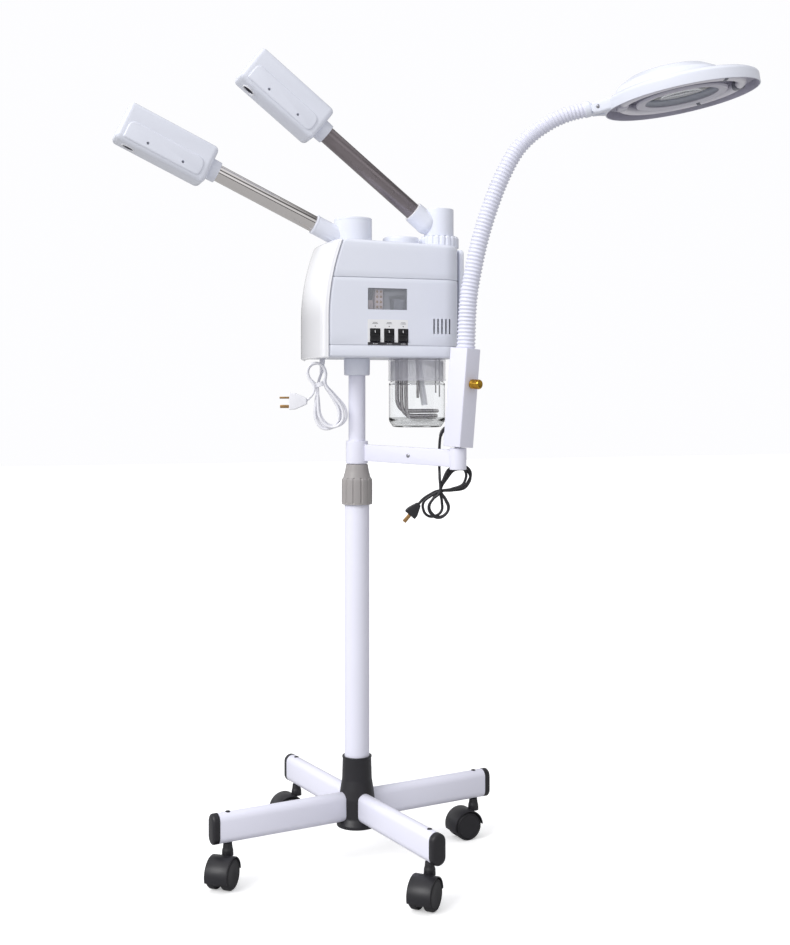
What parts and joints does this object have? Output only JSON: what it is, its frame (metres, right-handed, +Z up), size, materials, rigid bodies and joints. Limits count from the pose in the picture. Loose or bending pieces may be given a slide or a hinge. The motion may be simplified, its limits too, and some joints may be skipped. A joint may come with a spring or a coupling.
{
  "type": "facial steamer",
  "caption": "Facial steamer on a four-leg caster stand: sliding pole, swivelling head with a clear water jar and steam arms, and a magnifier lamp on a gooseneck.",
  "frame": {"origin": "middle of the whole object's footprint, on the floor, with the free cords left out", "axes": "+Z up; +X runs from the front of the steamer head to its rear, so the front steam arm points along -X"},
  "size_m": [1.0185, 0.6612, 1.3793],
  "materials": {
    "white_paint": "white powder coat",
    "white_plastic": "satin moulded white",
    "bright_plastic": "glossy white",
    "grey_plastic": "matt",
    "black_plastic": "fine grain",
    "chrome": "polished",
    "dark_tube": "smoky plated",
    "brass": "knurled",
    "stainless_steel": "drawn tube",
    "clear_glass": "clear",
    "frosted_plastic": "frosted",
    "white_cord": "soft white cord",
    "black_cord": "soft black cord"
  },
  "bodies": {
    "stand": {"base_hub": "black_plastic", "leg_1": "white_paint", "leg_2": "white_paint", "leg_3": "white_paint", "leg_4": "white_paint", "leg_cap_1": "black_plastic", "leg_cap_2": "black_plastic", "leg_cap_3": "black_plastic", "leg_cap_4": "black_plastic", "lower_pole": "white_paint"},
    "caster_1": {"caster_hood_1": "black_plastic"},
    "wheels_1": {"caster_wheels_1": "black_plastic"},
    "caster_2": {"caster_hood_2": "black_plastic"},
    "wheels_2": {"caster_wheels_2": "black_plastic"},
    "caster_3": {"caster_hood_3": "black_plastic"},
    "wheels_3": {"caster_wheels_3": "black_plastic"},
    "caster_4": {"caster_hood_4": "black_plastic"},
    "wheels_4": {"caster_wheels_4": "black_plastic"},
    "height_collar": {"height_collar": "grey_plastic"},
    "upper_pole": {"upper_pole": "white_paint"},
    "head": {"pole_socket": "white_plastic", "base_tray": "white_plastic", "body_shell": "white_plastic", "top_shell": "white_plastic", "front_cover": "bright_plastic", "rear_cover": "white_plastic", "window_pane": "clear_glass", "steam_manifold": "white_plastic", "heater_coil": "stainless_steel", "sensor_tube": "bright_plastic", "mains_cord_hank": "white_cord", "mains_plug": "bright_plastic"},
    "rocker_1": {"rocker_1": "black_plastic"},
    "rocker_2": {"rocker_2": "black_plastic"},
    "rocker_3": {"rocker_3": "black_plastic"},
    "filler_cap": {"filler_cap": "white_plastic"},
    "water_jar": {"water_jar": "clear_glass"},
    "jar_ring": {"jar_ring": "frosted_plastic"},
    "front_arm": {"front_turret": "white_plastic", "front_tube": "chrome"},
    "front_nozzle": {"front_nozzle_left": "white_plastic", "front_nozzle_right": "white_plastic"},
    "rear_lock_nut": {"rear_lock_nut": "white_plastic"},
    "rear_arm": {"rear_turret": "white_plastic", "rear_tube": "dark_tube"},
    "rear_nozzle": {"rear_nozzle_left": "white_plastic", "rear_nozzle_right": "white_plastic"},
    "lamp_bracket": {"lamp_bracket": "white_paint"},
    "lamp_box": {"lamp_box": "white_paint", "gooseneck_lower": "white_plastic", "lamp_cord": "black_cord", "lamp_cord_hank": "black_cord", "lamp_plug": "black_plastic"},
    "lamp_switch_knob": {"lamp_switch_knob": "brass"},
    "gooseneck_middle": {"gooseneck_middle": "white_plastic"},
    "gooseneck_upper": {"gooseneck_upper": "white_plastic"},
    "lamp_head": {"lamp_housing": "white_plastic", "magnifier_lens": "clear_glass", "ring_tube": "bright_plastic"},
    "lens_cover": {"lens_cover": "white_plastic"}
  },
  "joints": [
    {"name": "caster_1_swivel", "type": "hinge", "parent": "stand", "child": "caster_1", "pos_m": [0.13943, 0.10982, 0.06], "axis": [0, 0, 1], "continuous": true},
    {"name": "caster_1_roll", "type": "hinge", "parent": "caster_1", "child": "wheels_1", "pos_m": [0.12057, 0.1075, 0.025], "axis": [-0.1219, 0.9925, 0], "continuous": true},
    {"name": "caster_2_swivel", "type": "hinge", "parent": "stand", "child": "caster_2", "pos_m": [-0.14262, 0.29863, 0.06], "axis": [0, 0, 1], "continuous": true},
    {"name": "caster_2_roll", "type": "hinge", "parent": "caster_2", "child": "wheels_2", "pos_m": [-0.16139, 0.29566, 0.025], "axis": [-0.1564, 0.9877, 0], "continuous": true},
    {"name": "caster_3_swivel", "type": "hinge", "parent": "stand", "child": "caster_3", "pos_m": [-0.33143, 0.01658, 0.06], "axis": [0, 0, 1], "continuous": true},
    {"name": "caster_3_roll", "type": "hinge", "parent": "caster_3", "child": "wheels_3", "pos_m": [-0.34286, 0.00141, 0.025], "axis": [-0.7986, 0.6018, 0], "continuous": true},
    {"name": "caster_4_swivel", "type": "hinge", "parent": "stand", "child": "caster_4", "pos_m": [-0.04938, -0.17223, 0.06], "axis": [0, 0, 1], "continuous": true},
    {"name": "caster_4_roll", "type": "hinge", "parent": "caster_4", "child": "wheels_4", "pos_m": [-0.06234, -0.18613, 0.025], "axis": [-0.7314, 0.682, 0], "continuous": true},
    {"name": "height_collar_turn", "type": "hinge", "parent": "stand", "child": "height_collar", "pos_m": [-0.096, 0.0632, 0.613], "axis": [0, 0, 1], "range_deg": [0, 120]},
    {"name": "pole_height", "type": "slide", "parent": "stand", "child": "upper_pole", "axis": [0, 0, 1], "range_m": [0, 0.3]},
    {"name": "head_swivel", "type": "hinge", "parent": "upper_pole", "child": "head", "pos_m": [-0.096, 0.0632, 0.85], "axis": [0, 0, 1], "range_deg": [-15, 120]},
    {"name": "rocker_1_tilt", "type": "hinge", "parent": "head", "child": "rocker_1", "pos_m": [-0.0873, -0.0058, 0.9007], "axis": [1, 0, 0], "range_deg": [0, 16]},
    {"name": "rocker_2_tilt", "type": "hinge", "parent": "head", "child": "rocker_2", "pos_m": [-0.0625, -0.0058, 0.9007], "axis": [1, 0, 0], "range_deg": [0, 16]},
    {"name": "rocker_3_tilt", "type": "hinge", "parent": "head", "child": "rocker_3", "pos_m": [-0.0377, -0.0058, 0.9007], "axis": [1, 0, 0], "range_deg": [0, 16]},
    {"name": "filler_cap_turn", "type": "hinge", "parent": "head", "child": "filler_cap", "pos_m": [-0.016, 0.0632, 1.0612], "axis": [0, 0, 1], "range_deg": [0, 90]},
    {"name": "jar_drop", "type": "slide", "parent": "head", "child": "water_jar", "axis": [0, 0, -1], "range_m": [0, 0.125]},
    {"name": "jar_ring_turn", "type": "hinge", "parent": "water_jar", "child": "jar_ring", "pos_m": [0.014, 0.0632, 0.844], "axis": [0, 0, 1], "range_deg": [0, 60]},
    {"name": "front_arm_swing", "type": "hinge", "parent": "head", "child": "front_arm", "pos_m": [-0.103, 0.0632, 1.0639], "axis": [0, 0, 1], "range_deg": [-60, 60]},
    {"name": "front_nozzle_twist", "type": "hinge", "parent": "front_arm", "child": "front_nozzle", "pos_m": [-0.103, 0.0632, 1.06], "axis": [-0.9048, 0, 0.4258], "range_deg": [-90, 90]},
    {"name": "rear_lock_nut_turn", "type": "hinge", "parent": "head", "child": "rear_lock_nut", "pos_m": [0.055, 0.0632, 1.0592], "axis": [0, 0, 1], "range_deg": [0, 90]},
    {"name": "rear_arm_swing", "type": "hinge", "parent": "head", "child": "rear_arm", "pos_m": [0.055, 0.0632, 1.0703], "axis": [0, 0, 1], "range_deg": [-50, 50]},
    {"name": "rear_nozzle_twist", "type": "hinge", "parent": "rear_arm", "child": "rear_nozzle", "pos_m": [0.03, 0.0632, 1.1036], "axis": [-0.7826, 0, 0.6225], "range_deg": [-90, 90]},
    {"name": "lamp_bracket_swing", "type": "hinge", "parent": "upper_pole", "child": "lamp_bracket", "pos_m": [-0.096, 0.0632, 0.7], "axis": [0, 0, 1], "range_deg": [-60, 10]},
    {"name": "lamp_box_turn", "type": "hinge", "parent": "lamp_bracket", "child": "lamp_box", "pos_m": [0.0331, -0.08427, 0.7132], "axis": [0, 0, 1], "range_deg": [-60, 0]},
    {"name": "lamp_switch_turn", "type": "hinge", "parent": "lamp_box", "child": "lamp_switch_knob", "pos_m": [0.0407, -0.08686, 0.8199], "axis": [0.4859, -0.8722, -0.0557], "range_deg": [0, 90]},
    {"name": "gooseneck_lower_bend", "type": "hinge", "parent": "lamp_box", "child": "gooseneck_middle", "pos_m": [0.06879, -0.09642, 1.0629], "axis": [0.3223, 0.9466, 0], "range_deg": [-18, 18]},
    {"name": "gooseneck_upper_bend", "type": "hinge", "parent": "gooseneck_middle", "child": "gooseneck_upper", "pos_m": [0.13371, -0.11852, 1.21655], "axis": [0.3223, 0.9466, 0], "range_deg": [-18, 18]},
    {"name": "lamp_tilt", "type": "hinge", "parent": "gooseneck_upper", "child": "lamp_head", "pos_m": [0.25039, -0.15824, 1.27435], "axis": [0.3223, 0.9466, 0], "range_deg": [-30, 30]},
    {"name": "lens_cover_lift", "type": "hinge", "parent": "lamp_head", "child": "lens_cover", "pos_m": [0.27696, -0.16729, 1.29656], "axis": [-0.3223, -0.9466, 0], "range_deg": [0, 100]}
  ]
}
